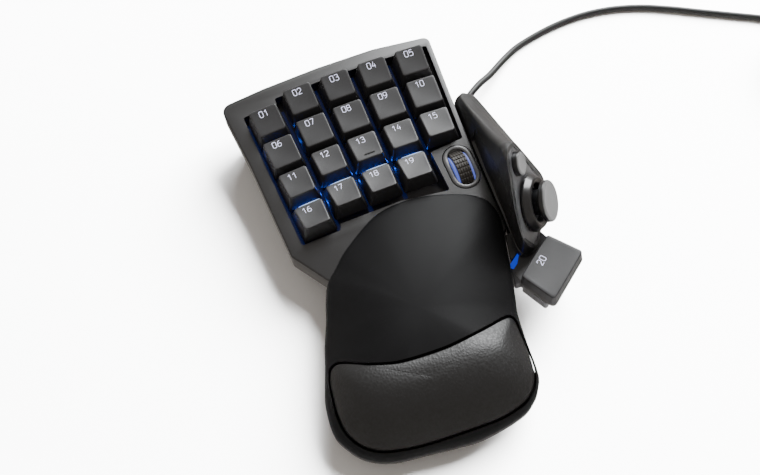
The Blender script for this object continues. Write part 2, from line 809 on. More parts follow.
# Top case
CASE_CORNERS = corners_from_shares(CASE_SHARES, CASE_WIDTH, CASE_LENGTH, CASE_CORNER)
WELL_CORNERS = corners_from_shares(WELL_SHARES, WELL_WIDTH, WELL_LENGTH, WELL_CORNER)
SCREW_PLACES = [fan_place(column, row) for column, row in SCREW_GRID]


def stadium(width, length, x, y, count=ROUND):
    """A long oval along y."""
    radius = width / 2
    half = length / 2 - radius
    points = []
    for k in range(count // 2 + 1):
        angle = math.pi * k / (count // 2)
        points.append((x + radius * math.cos(angle), y + half + radius * math.sin(angle)))
    for k in range(count // 2 + 1):
        angle = math.pi + math.pi * k / (count // 2)
        points.append((x + radius * math.cos(angle), y - half + radius * math.sin(angle)))
    return points


top_case = add_mesh(
    "top_case",
    loft(
        [
            flat_ring(corner_points(CASE_CORNERS), CASE_RIM),
            flat_ring(corner_points(CASE_CORNERS), CASE_TOP - CASE_EDGE_ROUND),
            flat_ring(corner_points(CASE_CORNERS, CASE_EDGE_ROUND), CASE_TOP),
        ]
    ),
    CASE_PLASTIC,
    DECK,
    smooth=True,
)
case_cavity = add_mesh(
    "case_cavity", prism(corner_points(CASE_CORNERS, CASE_WALL), CASE_RIM - CUT, CASE_TOP - CASE_PLATE), None, DECK
)
well_wall = add_mesh(
    "well_wall",
    prism(corner_points(WELL_CORNERS, -WELL_WALL, 2), WELL_BASE, CASE_TOP - CASE_PLATE / 2),
    None,
    DECK,
)
well_window = add_mesh("well_window", prism(corner_points(WELL_CORNERS, 0, 2), CASE_RIM - CUT, CASE_TOP + CUT), None, DECK)
bezel_hole = add_mesh(
    "bezel_hole",
    prism(
        stadium(BEZEL_WIDTH + 2 * FIT, BEZEL_LENGTH + 2 * FIT, WHEEL_X, WHEEL_Y), CASE_RIM - CUT, CASE_TOP + CUT
    ),
    None,
    DECK,
)

boolean(top_case, "DIFFERENCE", case_cavity)
boolean(top_case, "UNION", well_wall)
boolean(top_case, "DIFFERENCE", well_window)
boolean(top_case, "DIFFERENCE", bezel_hole)

# Key deck: a plate with a guide sleeve under every key
key_deck = add_mesh(
    "key_deck",
    prism(corner_points(WELL_CORNERS, -DECK_MARGIN, 2), WELL_BASE - FIT - DECK_PLATE, WELL_BASE - FIT),
    LOWER_PLASTIC,
    DECK,
)
sleeves = add_mesh(
    "sleeves",
    cylinders(KEY_PLACES, STEM_RADIUS + FIT + SLEEVE_WALL, SLEEVE_BASE, SLEEVE_TOP, COARSE_ROUND),
    None,
    DECK,
)
sleeve_bores = add_mesh(
    "sleeve_bores",
    cylinders(KEY_PLACES, STEM_RADIUS + FIT, SLEEVE_BASE - CUT, SLEEVE_TOP + CUT, TINY_ROUND),
    None,
    DECK,
)
MEMBRANE_TOP = STEM_END - KEY_TRAVEL - FIT - DOME_HEIGHT
BOARD_TOP = MEMBRANE_TOP - MEMBRANE - FIT
BOARD_BASE = BOARD_TOP - BOARD_THICKNESS
deck_bosses = add_mesh(
    "deck_bosses",
    cylinders(SCREW_PLACES, SCREW_RADIUS + FIT + BOSS_WALL, MEMBRANE_TOP + FIT, WELL_BASE - DECK_PLATE),
    None,
    DECK,
)
deck_bores = add_mesh(
    "deck_bores",
    cylinders(
        SCREW_PLACES, SCREW_RADIUS + FIT, MEMBRANE_TOP - CUT, MEMBRANE_TOP + SCREW_GRIP + FIT, TINY_ROUND
    ),
    None,
    DECK,
)
deck_room = add_mesh(
    "deck_room",
    prism(corner_points(CASE_CORNERS, CASE_WALL + FIT), CASE_RIM - CUT, CASE_TOP),
    None,
    DECK,
)
boolean(key_deck, "INTERSECT", deck_room)
boolean(key_deck, "UNION", deck_bosses)
boolean(key_deck, "DIFFERENCE", deck_bores)
boolean(key_deck, "UNION", sleeves)
boolean(key_deck, "DIFFERENCE", sleeve_bores)

# Membrane and main circuit board, both with holes for the screws
membrane = add_mesh(
    "key_membrane",
    prism(corner_points(WELL_CORNERS, MEMBRANE_INSET, 2), MEMBRANE_TOP - MEMBRANE, MEMBRANE_TOP),
    SILICONE,
    DECK,
)
domes = add_mesh(
    "domes",
    cylinders(KEY_PLACES, DOME_RADIUS, MEMBRANE_TOP - MEMBRANE / 2, MEMBRANE_TOP + DOME_HEIGHT, COARSE_ROUND),
    None,
    DECK,
)
screw_holes = add_mesh(
    "screw_holes",
    cylinders(SCREW_PLACES, SCREW_RADIUS + FIT, BOARD_BASE - CUT, MEMBRANE_TOP + FIT, TINY_ROUND),
    None,
    DECK,
)
boolean(membrane, "UNION", domes)
boolean(membrane, "DIFFERENCE", screw_holes)

board = add_mesh(
    "main_circuit_board",
    prism(corner_points(CASE_CORNERS, BOARD_INSET), BOARD_BASE, BOARD_TOP),
    BOARD_LAMINATE,
    DECK,
)
board_front = add_mesh(
    "board_front",
    box(
        (2 * CASE_WIDTH, CASE_LENGTH, 2 * CUT),
        (0, BOARD_FRONT - CASE_LENGTH / 2, BOARD_BASE),
    ),
    None,
    DECK,
)
wheel_room = add_mesh(
    "wheel_room",
    box(
        (
            AXLE_LENGTH + 2 * BRACKET_ARM + 2 * BOARD_NOTCH + CASE_WIDTH / 2,
            2 * WHEEL_RADIUS + 2 * BOARD_NOTCH,
            2 * CUT,
        ),
        (WHEEL_X + CASE_WIDTH / 4, WHEEL_Y, BOARD_BASE),
    ),
    None,
    DECK,
)
boolean(board, "DIFFERENCE", board_front)
boolean(board, "DIFFERENCE", wheel_room)
boolean(board, "DIFFERENCE", screw_holes)

# Lower case: a cup drawn in towards its floor
LOWER_RIM = CASE_RIM - FIT
FLOOR_INSET = LOWER_INSET + LOWER_DRAW
lower_case = add_mesh(
    "bottom_case",
    loft(
        [
            flat_ring(corner_points(CASE_CORNERS, FLOOR_INSET + WALL), level(FLOOR_HEIGHT + WALL)),
            flat_ring(corner_points(CASE_CORNERS, LOWER_INSET + WALL), LOWER_RIM),
            flat_ring(corner_points(CASE_CORNERS, LOWER_INSET), LOWER_RIM),
            flat_ring(corner_points(CASE_CORNERS, FLOOR_INSET), level(FLOOR_HEIGHT)),
        ]
    ),
    LOWER_PLASTIC,
    DECK,
    smooth=True,
)
lower_bosses = add_mesh(
    "lower_bosses",
    cylinders(SCREW_PLACES, SCREW_HEAD_RADIUS + FIT + BOSS_WALL, level(FLOOR_HEIGHT), BOARD_BASE - FIT),
    None,
    DECK,
)
head_recesses = add_mesh(
    "head_recesses",
    cylinders(
        SCREW_PLACES,
        SCREW_HEAD_RADIUS + FIT,
        lambda x, y: level(FLOOR_HEIGHT)(x, y) - CUT,
        lambda x, y: level(FLOOR_HEIGHT)(x, y) + SCREW_RECESS,
    ),
    None,
    DECK,
)
shank_bores = add_mesh(
    "shank_bores",
    cylinders(SCREW_PLACES, SCREW_RADIUS + FIT, level(FLOOR_HEIGHT), MEMBRANE_TOP, TINY_ROUND),
    None,
    DECK,
)
TONGUE_LOW = FLOOR_HEIGHT + WALL + FIT
TONGUE_HIGH = TONGUE_LOW + TONGUE_THICKNESS


def palm_box(low_r, high_r, low_a, high_a, low_z, high_z):
    """A box in the palm rest's own axes."""
    size = (high_r - low_r, high_a - low_a, high_z - low_z)
    middle = ((low_r + high_r) / 2, -(low_a + high_a) / 2, (low_z + high_z) / 2)
    return box(size, middle)


TONGUE_LEFT = PALM_CENTRE_R - TONGUE_WIDTH / 2
TONGUE_RIGHT = PALM_CENTRE_R + TONGUE_WIDTH / 2
left_rib = add_mesh(
    "left_rib",
    palm_box(
        TONGUE_LEFT - FIT - TONGUE_RIB,
        TONGUE_LEFT - FIT,
        TONGUE_REAR_A,
        TONGUE_RIB_FRONT_A,
        FLOOR_HEIGHT + WALL / 2,
        TONGUE_HIGH,
    ),
    None,
    PALM,
)
right_rib = add_mesh(
    "right_rib",
    palm_box(
        TONGUE_RIGHT + FIT,
        TONGUE_RIGHT + FIT + TONGUE_RIB,
        TONGUE_REAR_A,
        TONGUE_RIB_FRONT_A,
        FLOOR_HEIGHT + WALL / 2,
        TONGUE_HIGH,
    ),
    None,
    PALM,
)
tongue_slot = add_mesh(
    "tongue_slot",
    palm_box(
        TONGUE_LEFT - FIT,
        TONGUE_RIGHT + FIT,
        TONGUE_SLOT_A,
        TONGUE_FRONT_A,
        FLOOR_HEIGHT + WALL,
        TONGUE_HIGH + FIT,
    ),
    None,
    PALM,
)
wheel_bay = add_mesh(
    "wheel_bay",
    box(
        (AXLE_LENGTH + 2 * BAY_CLEARANCE, 2 * WHEEL_RADIUS + 2 * BAY_CLEARANCE, DECK_HEIGHT),
        (
            WHEEL_X,
            WHEEL_Y + (DECK_HEIGHT - FLOOR_HEIGHT) * math.sin(DECK_SLOPE) / 2,
            FLOOR_HEIGHT + WALL + DECK_HEIGHT / 2,
        ),
    ),
    None,
    ROOT,
)
boolean(lower_case, "DIFFERENCE", wheel_bay)
boolean(lower_case, "UNION", lower_bosses)
boolean(lower_case, "DIFFERENCE", head_recesses)
boolean(lower_case, "DIFFERENCE", shank_bores)
boolean(lower_case, "UNION", left_rib)
boolean(lower_case, "UNION", right_rib)
boolean(lower_case, "DIFFERENCE", tongue_slot)


# Feet and screws
def deck_to_table(x, y):
    """A place of the deck frame near the floor, in table axes."""
    low = level(FLOOR_HEIGHT)(x, y)
    return x, y * math.cos(DECK_SLOPE) - low * math.sin(DECK_SLOPE)


FOOT_PLACES = [deck_to_table(x * CASE_WIDTH, y * CASE_LENGTH) for x, y in FOOT_SHARES]
for index, place in enumerate(FOOT_PLACES):
    add_mesh(
        "case_foot_%d" % (index + 1),
        cylinders([place], FOOT_RADIUS, 0.0, FLOOR_HEIGHT - FIT, ROUND),
        RUBBER,
        ROOT,
        smooth=True,
    )
for index, (x, y) in enumerate(SCREW_PLACES):
    foot = level(FLOOR_HEIGHT)(x, y) + SCREW_RECESS
    length = MEMBRANE_TOP + SCREW_GRIP - foot
    turned(
        "case_screw_%d" % (index + 1),
        [
            (0, length),
            (SCREW_RADIUS, length),
            (SCREW_RADIUS, -FIT),
            (SCREW_HEAD_RADIUS, -FIT),
            (SCREW_HEAD_RADIUS, -SCREW_HEAD_HEIGHT),
            (0, -SCREW_HEAD_HEIGHT),
        ],
        STEEL,
        DECK,
        (x, y, foot),
        sides=SMALL_ROUND,
    )

# Scroll wheel
SLOT = stadium(SLOT_WIDTH, SLOT_LENGTH, WHEEL_X, WHEEL_Y)
SLOT_LOW = stadium(SLOT_WIDTH + 2 * BEZEL_FLARE, SLOT_LENGTH + 2 * BEZEL_FLARE, WHEEL_X, WHEEL_Y)
BEZEL = stadium(BEZEL_WIDTH, BEZEL_LENGTH, WHEEL_X, WHEEL_Y)
BEZEL_CROWN = stadium((SLOT_WIDTH + BEZEL_WIDTH) / 2, (SLOT_LENGTH + BEZEL_LENGTH) / 2, WHEEL_X, WHEEL_Y)
add_mesh(
    "wheel_bezel",
    loft(
        [
            flat_ring(SLOT_LOW, CASE_TOP - BEZEL_DEPTH),
            flat_ring(SLOT, CASE_TOP),
            flat_ring(BEZEL_CROWN, CASE_TOP + BEZEL_LIP),
            flat_ring(BEZEL, CASE_TOP),
            flat_ring(BEZEL, CASE_TOP - BEZEL_DEPTH),
        ],
        closed=True,
    ),
    GLOSS_PLASTIC,
    DECK,
    smooth=True,
)
WHEEL = frame("wheel_frame", DECK, (WHEEL_X, WHEEL_Y, WHEEL_HEIGHT))
ALONG_X = (0, math.pi / 2, 0)
HUB_RADIUS = WHEEL_RADIUS - TYRE_THICKNESS - FIT
HUB_HALF = TYRE_WIDTH / 2 + FIT + FLANGE_WIDTH
turned(
    "scroll_wheel",
    [
        (AXLE_RADIUS + FIT, HUB_HALF),
        (FLANGE_RADIUS, HUB_HALF),
        (FLANGE_RADIUS, HUB_HALF - FLANGE_WIDTH),
        (HUB_RADIUS, HUB_HALF - FLANGE_WIDTH),
        (HUB_RADIUS, FLANGE_WIDTH - HUB_HALF),
        (FLANGE_RADIUS, FLANGE_WIDTH - HUB_HALF),
        (FLANGE_RADIUS, -HUB_HALF),
        (AXLE_RADIUS + FIT, -HUB_HALF),
    ],
    LIGHT_GUIDE,
    WHEEL,
    rotation=ALONG_X,
    closed=True,
)
turned(
    "wheel_tyre",
    [
        (HUB_RADIUS + FIT, TYRE_WIDTH / 2),
        (WHEEL_RADIUS, TYRE_WIDTH / 2),
        (WHEEL_RADIUS, -TYRE_WIDTH / 2),
        (HUB_RADIUS + FIT, -TYRE_WIDTH / 2),
    ],
    RUBBER,
    WHEEL,
    rotation=ALONG_X,
    closed=True,
)
turned(
    "wheel_axle",
    [(0, AXLE_LENGTH / 2), (AXLE_RADIUS, AXLE_LENGTH / 2), (AXLE_RADIUS, -AXLE_LENGTH / 2), (0, -AXLE_LENGTH / 2)],
    STEEL,
    WHEEL,
    rotation=ALONG_X,
    sides=SMALL_ROUND,
)

# Wheel bracket: two arms that hold the axle, joined under the wheel
BRACKET_IN = AXLE_LENGTH / 2 - BRACKET_ARM - FIT
BRACKET_OUT = AXLE_LENGTH / 2 - FIT
BRACKET_LOW = -(WHEEL_RADIUS + FIT + BRACKET_FLOOR)
bracket = add_mesh(
    "wheel_bracket",
    box(
        (2 * BRACKET_OUT, BRACKET_WIDTH, BRACKET_TOP - BRACKET_LOW),
        (0, 0, (BRACKET_TOP + BRACKET_LOW) / 2),
    ),
    LOWER_PLASTIC,
    WHEEL,
)
bracket_gap = add_mesh(
    "bracket_gap",
    box(
        (2 * BRACKET_IN, BRACKET_WIDTH + CUT, BRACKET_TOP + WHEEL_RADIUS + FIT + CUT),
        (0, 0, (BRACKET_TOP - WHEEL_RADIUS - FIT + CUT) / 2),
    ),
    None,
    WHEEL,
)
axle_bore = add_mesh(
    "axle_bore",
    cylinders([(0, 0)], AXLE_RADIUS + FIT, -AXLE_LENGTH, AXLE_LENGTH),
    None,
    WHEEL,
    rotation=ALONG_X,
)
boolean(bracket, "DIFFERENCE", bracket_gap)
boolean(bracket, "DIFFERENCE", axle_bore)


# Thumb housing
def thumb_station(share):
    """Inner, outer and crest x, crest height and shoulder at a share of the housing's length."""
    for low, high in zip(THUMB_SHARES, THUMB_SHARES[1:]):
        if share <= high[0] or high is THUMB_SHARES[-1]:
            t = (share - low[0]) / (high[0] - low[0])
            inner, outer, crest, rise, across, up = (low[k] + (high[k] - low[k]) * t for k in range(1, 7))
            return (
                THUMB_INNER_X + THUMB_WIDTH * inner,
                THUMB_INNER_X + THUMB_WIDTH * outer,
                THUMB_INNER_X + THUMB_WIDTH * crest,
                THUMB_RISE * rise,
                across,
                up,
            )


def thumb_section(share, inset, low):
    """One cross-section as (x, height): inner side, crest, slope and outer side, moved in by the inset."""
    inner, outer, crest, rise, across, up = thumb_station(share)
    inset *= min(1.0, (outer - crest) * across * TOP_ROOM / (THUMB_WALL + FIT))
    foot = THUMB_BASE - DECK_HEIGHT - low - inset
    draw = min(THUMB_DRAW, (outer - inner) * TOP_ROOM / 2)
    corners = [
        (inner + draw / 2, foot, THUMB_FLARE),
        (inner, THUMB_SIDE_LOW, CREST_ROUND),
        (inner + THUMB_FLARE / 4, 0.0, CREST_ROUND),
        (inner + (crest - inner) * 0.28, rise * 0.52, 2 * CREST_ROUND),
        (crest, rise, CREST_ROUND),
        (crest + (outer - crest) * across, rise * up, 2 * CREST_ROUND),
        (outer, 0.0, CREST_ROUND),
        (outer + THUMB_FLARE, THUMB_SIDE_MID, CREST_ROUND),
        (outer - draw, foot, THUMB_FLARE),
    ]
    return corner_points(corners, inset, 1)


def thumb_solid(inset, low=0.0):
    """The housing's outer form moved in by the inset, its foot lowered by low."""
    rings = []
    margin = inset / THUMB_LENGTH
    shares = [row[0] for row in THUMB_SHARES]
    if inset > 0:
        shares = [margin] + [s for s in shares if margin * 1.5 < s < 1 - margin * 1.5] + [1 - margin]
    for share in shares:
        y = THUMB_REAR - THUMB_LENGTH * share
        section = thumb_section(share, inset, low)
        rings.append([(x, y, DECK_HEIGHT + z) for x, z in section])
    return loft(rings)


thumb_housing = add_mesh("thumb_housing", thumb_solid(0.0), CASE_PLASTIC, ROOT, smooth=True)
front_cut = add_mesh(
    "front_cut",
    box((THUMB_LENGTH, THUMB_LENGTH, THUMB_LENGTH), (0, 0, THUMB_LENGTH / 2)),
    None,
    POD,
)
thumb_hollow = add_mesh("thumb_hollow", thumb_solid(THUMB_WALL, CUT), None, ROOT)
cable_hole = add_mesh(
    "cable_hole",
    cylinders([(0, 0)], RELIEF_RADIUS + FIT, -RELIEF_INSIDE, RELIEF_OUTSIDE, SMALL_ROUND),
    None,
    ROOT,
    (CABLE_EXIT_X, CABLE_EXIT_Y, CABLE_EXIT_HEIGHT),
    (0, math.pi / 2, CABLE_EXIT_TURN),
)
boolean(thumb_housing, "DIFFERENCE", front_cut)
boolean(thumb_housing, "DIFFERENCE", thumb_hollow)
ARM_HEIGHT = THUMB_KEY_TOP - THUMB_KEY_SKIRT - THUMB_KEY_GAP
undercut = add_mesh(
    "undercut",
    box(
        (2 * THUMB_LENGTH, THUMB_LENGTH, 2 * ARM_HEIGHT),
        (THUMB_INNER_X, UNDERCUT_REAR - THUMB_LENGTH / 2, FIT),
    ),
    None,
    ROOT,
)
boolean(thumb_housing, "DIFFERENCE", cable_hole)
boolean(thumb_housing, "DIFFERENCE", undercut)


def thumb_plan(inset, rear, front, lean=0.0):
    """The housing's outline near its foot between two places along it, moved in by the inset."""
    inner_side = []
    outer_side = []
    places = [THUMB_REAR - THUMB_LENGTH * row[0] for row in THUMB_SHARES]
    places = [rear] + [y for y in places if front + THUMB_WALL < y < rear - THUMB_WALL] + [front]
    for y in places:
        inner, outer = thumb_station((THUMB_REAR - y) / THUMB_LENGTH)[:2]
        inner_side.append((inner + THUMB_DRAW / 2 + inset, y))
        outer_side.append((outer - THUMB_DRAW + lean - inset, y))
    return inner_side + outer_side[::-1]


# Base plate with its upright front, the board and the foot of the thumb housing
PLATE_INSET = THUMB_WALL + FIT
PLATE_REAR = THUMB_REAR - 2 * THUMB_WALL - FIT
PLATE_FRONT = UNDERCUT_REAR + FIT
PLATE_TOP = THUMB_BASE + THUMB_PLATE
thumb_base = add_mesh(
    "thumb_base",
    prism(thumb_plan(PLATE_INSET, PLATE_REAR, PLATE_FRONT), THUMB_BASE, PLATE_TOP),
    LOWER_PLASTIC,
    ROOT,
)
base_front = add_mesh(
    "base_front",
    loft(
        [
            flat_ring(thumb_plan(PLATE_INSET, PLATE_FRONT + THUMB_WALL, PLATE_FRONT), THUMB_BASE),
            flat_ring(
                thumb_plan(PLATE_INSET, PLATE_FRONT + THUMB_WALL, PLATE_FRONT, THUMB_DRAW / 2), ARM_HEIGHT
            ),
        ]
    ),
    None,
    ROOT,
)
panel_gap = add_mesh(
    "panel_gap",
    box(
        (2 * THUMB_LENGTH, 2 * THUMB_LENGTH, THUMB_LENGTH),
        (0, 0, THUMB_LENGTH / 2 - PANEL_THICKNESS - FIT),
    ),
    None,
    POD,
)
boolean(thumb_base, "UNION", base_front)
boolean(thumb_base, "DIFFERENCE", panel_gap)
THUMB_BOARD_LOW = PLATE_TOP + FIT
thumb_board = add_mesh(
    "thumb_circuit_board",
    prism(
        thumb_plan(2 * THUMB_WALL, THUMB_BOARD_REAR, THUMB_BOARD_FRONT),
        THUMB_BOARD_LOW,
        THUMB_BOARD_LOW + BOARD_THICKNESS,
    ),
    BOARD_LAMINATE,
    ROOT,
)
add_mesh(
    "thumb_foot",
    cylinders([(THUMB_FOOT_X, THUMB_FOOT_Y)], FOOT_RADIUS, 0.0, THUMB_BASE - FIT, ROUND),
    RUBBER,
    ROOT,
    smooth=True,
)

# Slanted panel with its pocket for the mode button
pod_panel = add_mesh("pod_panel", thumb_solid(THUMB_WALL + FIT), PANEL_PLASTIC, ROOT)
panel_slice = add_mesh(
    "panel_slice",
    box((2 * THUMB_LENGTH, 2 * THUMB_LENGTH, PANEL_THICKNESS), (0, 0, -PANEL_THICKNESS / 2)),
    None,
    POD,
)
pad_hole = add_mesh("pad_hole", cylinders([(0, 0)], COLLAR_BORE, -CUT, CUT, ROUND), None, POD)
BUTTON_PLACE = [(BUTTON_X, BUTTON_Y)]
button_pocket = add_mesh(
    "button_pocket", cylinders(BUTTON_PLACE, BUTTON_RADIUS + FIT, -BUTTON_POCKET, CUT, ROUND), None, POD
)
plunger_hole = add_mesh(
    "plunger_hole", cylinders(BUTTON_PLACE, BUTTON_PLUNGER + FIT, -CUT, 0.0, TINY_ROUND), None, POD
)
boolean(pod_panel, "INTERSECT", panel_slice)
boolean(pod_panel, "DIFFERENCE", undercut)
boolean(pod_panel, "DIFFERENCE", pad_hole)
boolean(pod_panel, "DIFFERENCE", button_pocket)
boolean(pod_panel, "DIFFERENCE", plunger_hole)

BUTTON_LOW = -BUTTON_POCKET + BUTTON_TRAVEL + FIT
turned(
    "mode_button",
    [
        (0, BUTTON_RISE),
        (BUTTON_RADIUS - BUTTON_ROUND, BUTTON_RISE),
        (BUTTON_RADIUS, BUTTON_RISE - BUTTON_ROUND),
        (BUTTON_RADIUS, BUTTON_LOW),
        (BUTTON_PLUNGER, BUTTON_LOW),
        (BUTTON_PLUNGER, -PANEL_THICKNESS + BUTTON_TRAVEL),
        (0, -PANEL_THICKNESS + BUTTON_TRAVEL),
    ],
    PANEL_PLASTIC,
    POD,
    (BUTTON_X, BUTTON_Y, 0),
)
add_mesh(
    "mode_switch",
    box((SWITCH_SIZE, SWITCH_SIZE, SWITCH_HEIGHT), (0, 0, 0)),
    GLOSS_PLASTIC,
    POD,
    (BUTTON_X + SWITCH_OFFSET, BUTTON_Y - SWITCH_OFFSET, -PANEL_THICKNESS - FIT - SWITCH_HEIGHT / 2),
)

# Thumb pad: collar, gimbal and tilting cap
turned(
    "thumbpad_collar",
    [
        (COLLAR_BORE, FIT),
        (COLLAR_RADIUS, FIT),
        (COLLAR_RADIUS, COLLAR_HEIGHT * 0.35),
        (COLLAR_SHOULDER, COLLAR_HEIGHT - COLLAR_LIP / 2),
        (COLLAR_SHOULDER - COLLAR_LIP, COLLAR_HEIGHT),
        (COLLAR_BORE, COLLAR_HEIGHT - COLLAR_LIP),
    ],
    GLOSS_PLASTIC,
    POD,
    closed=True,
    sides=28,
)
TILT = frame("pad_frame", POD, (0, 0, -PIVOT_DEPTH))
pad_stem = turned(
    "thumbpad_stem",
    [
        (0, PAD_FACE - PAD_RIM - FIT + PIVOT_DEPTH),
        (NECK_RADIUS, PAD_FACE - PAD_RIM - FIT + PIVOT_DEPTH),
        (NECK_RADIUS, CORE_HALF + FIT),
        (CORE_RADIUS, CORE_HALF),
        (CORE_RADIUS, -CORE_HALF),
        (0, -CORE_HALF),
    ],
    GLOSS_PLASTIC,
    TILT,
    sides=20,
)
turned(
    "thumbpad_cap",
    [
        (0, PAD_FACE - PAD_DISH + PIVOT_DEPTH),
        (PAD_RADIUS * 0.5, PAD_FACE - PAD_DISH * 0.75 + PIVOT_DEPTH),
        (PAD_RADIUS - 2 * PAD_EDGE, PAD_FACE + PIVOT_DEPTH),
        (PAD_RADIUS, PAD_FACE - PAD_EDGE + PIVOT_DEPTH),
        (PAD_RADIUS, PAD_FACE - PAD_RIM + PAD_EDGE + PIVOT_DEPTH),
        (PAD_RADIUS - PAD_EDGE, PAD_FACE - PAD_RIM + PIVOT_DEPTH),
        (0, PAD_FACE - PAD_RIM + PIVOT_DEPTH),
    ],
    PANEL_PLASTIC,
    TILT,
    sides=28,
)
RING_IN = CORE_RADIUS + RING_GAP
RING_OUT = RING_IN + RING_RADIAL
MOUNT_IN = RING_OUT + RING_GAP
MOUNT_OUT = MOUNT_IN + MOUNT_RADIAL
MOUNT_TOP = PIVOT_DEPTH - PANEL_THICKNESS - FIT
gimbal = turned(
    "thumbpad_gimbal",
    [(RING_IN, CORE_HALF), (RING_OUT, CORE_HALF), (RING_OUT, -CORE_HALF), (RING_IN, -CORE_HALF)],
    STEEL,
    TILT,
    closed=True,
    sides=20,
)
mount = turned(
    "thumbpad_mount",
    [
        (MOUNT_IN, MOUNT_TOP),
        (MOUNT_OUT, MOUNT_TOP),
        (MOUNT_OUT, MOUNT_TOP - MOUNT_DEPTH),
        (MOUNT_IN, MOUNT_TOP - MOUNT_DEPTH),
    ],
    LOWER_PLASTIC,
    TILT,
    closed=True,
    sides=20,
)
mount_room = add_mesh(
    "mount_room",
    cylinders([(0, 0)], MOUNT_OUT + FIT, MOUNT_TOP - MOUNT_DEPTH - FIT, MOUNT_TOP + FIT, ROUND),
    None,
    TILT,
)
boolean(thumb_housing, "DIFFERENCE", mount_room)
ALONG_Y = (math.pi / 2, 0, 0)
stem_pins = add_mesh(
    "stem_pins",
    cylinders([(0, 0)], PIN_RADIUS, -RING_OUT + FIT, RING_OUT - FIT, TINY_ROUND),
    None,
    TILT,
    rotation=ALONG_Y,
)
ring_bores = add_mesh(
    "ring_bores",
    cylinders([(0, 0)], PIN_RADIUS + PIN_CLEARANCE, -MOUNT_IN, MOUNT_IN, TINY_ROUND),
    None,
    TILT,
    rotation=ALONG_Y,
)
left_pin = add_mesh(
    "left_pin",
    cylinders([(0, 0)], PIN_RADIUS, RING_IN + FIT, MOUNT_OUT - FIT, TINY_ROUND),
    None,
    TILT,
    rotation=ALONG_X,
)
right_pin = add_mesh(
    "right_pin",
    cylinders([(0, 0)], PIN_RADIUS, -MOUNT_OUT + FIT, -RING_IN - FIT, TINY_ROUND),
    None,
    TILT,
    rotation=ALONG_X,
)
mount_bores = add_mesh(
    "mount_bores",
    cylinders([(0, 0)], PIN_RADIUS + PIN_CLEARANCE, -MOUNT_OUT - CUT, MOUNT_OUT + CUT, TINY_ROUND),
    None,
    TILT,
    rotation=ALONG_X,
)
boolean(pad_stem, "UNION", stem_pins)
boolean(gimbal, "DIFFERENCE", ring_bores)
boolean(gimbal, "UNION", left_pin)
boolean(gimbal, "UNION", right_pin)
boolean(mount, "DIFFERENCE", mount_bores)

# Wide thumb key on its arm
KEY20 = frame("thumb_key_frame", ROOT, (THUMB_KEY_X, THUMB_KEY_Y, THUMB_KEY_TOP), (0, 0, THUMB_KEY_ANGLE))


def thumb_key_corners(extra):
    """The thumb key's outline, its sides moved out by extra."""
    corners = [(x * THUMB_KEY_LENGTH, y * THUMB_KEY_WIDTH, THUMB_KEY_CORNER) for x, y in THUMB_KEY_SHARES]
    return corner_points(corners, -extra, len(CORNER_ARC_SHARES) - 1)


ARM_TOP = -THUMB_KEY_SKIRT - THUMB_KEY_GAP
THUMB_STEM_END = ARM_TOP - ARM_THICKNESS + THUMB_KEY_TRAVEL + FIT
per_corner = len(CORNER_ARC_SHARES)
key_stem = circle(STEM_RADIUS, 4 * per_corner, math.radians(135 + 90 / per_corner))
key_stem.reverse()
add_mesh(
    "keycap_20",
    loft(
        [
            flat_ring(thumb_key_corners(-KEY_TOP_ROUND), 0.0),
            flat_ring(thumb_key_corners(0.0), -KEY_TOP_ROUND),
            flat_ring(thumb_key_corners(THUMB_KEY_DRAFT), -THUMB_KEY_SKIRT),
            flat_ring(thumb_key_corners(THUMB_KEY_DRAFT - KEY_WALL), -THUMB_KEY_SKIRT),
            flat_ring(thumb_key_corners(-KEY_WALL), -KEY_CEILING),
            flat_ring(key_stem, -KEY_CEILING),
            flat_ring(key_stem, THUMB_STEM_END),
        ]
    ),
    KEY_PLASTIC,
    KEY20,
    smooth=True,
)
ARM_CORNERS = [(x * THUMB_KEY_LENGTH, y * THUMB_KEY_WIDTH, THUMB_KEY_CORNER) for x, y in ARM_SHARES]
arm = add_mesh(
    "thumb_key_arm",
    prism(corner_points(ARM_CORNERS, ARM_INSET, 2), ARM_TOP - ARM_THICKNESS, ARM_TOP),
    LOWER_PLASTIC,
    KEY20,
    smooth=True,
)
arm_root = add_mesh(
    "arm_root",
    prism(
        [(x * THUMB_KEY_LENGTH, y * THUMB_KEY_WIDTH) for x, y in ARM_ROOT_SHARES],
        ARM_TOP - ARM_THICKNESS,
        ARM_TOP,
    ),
    None,
    KEY20,
)
arm_sleeve = add_mesh(
    "arm_sleeve",
    cylinders([(0, 0)], STEM_RADIUS + FIT + SLEEVE_WALL, ARM_TOP - ARM_THICKNESS / 2, ARM_TOP + THUMB_KEY_GAP),
    None,
    KEY20,
)
arm_bore = add_mesh(
    "arm_bore",
    cylinders([(0, 0)], STEM_RADIUS + FIT, ARM_TOP - ARM_THICKNESS - CUT, ARM_TOP + CUT),
    None,
    KEY20,
)
boolean(arm, "UNION", arm_root)
boolean(arm, "UNION", arm_sleeve)
boolean(arm, "DIFFERENCE", arm_bore)


# Palm rest
def palm_points(shares, width_inset=0.0, count=PALM_POINTS):
    """A smooth outline in palm axes, as x to the right and y to the rear."""
    loop = smooth_loop(
        [(PALM_CENTRE_R + r * PALM_WIDTH, -PALM_CENTRE_A - a * PALM_LENGTH) for r, a in shares], count
    )
    if width_inset:
        loop = inset_loop(loop, width_inset)
    return loop


PALM_OUTLINE = palm_points(PALM_SHARES)
PALM_MIDDLE = Vector((PALM_CENTRE_R, -PALM_CENTRE_A))
PALM_REACH = [
    (math.atan2(y - PALM_MIDDLE.y, x - PALM_MIDDLE.x), (Vector((x, y)) - PALM_MIDDLE).length)
    for x, y in PALM_OUTLINE
]
PALM_REACH.sort()


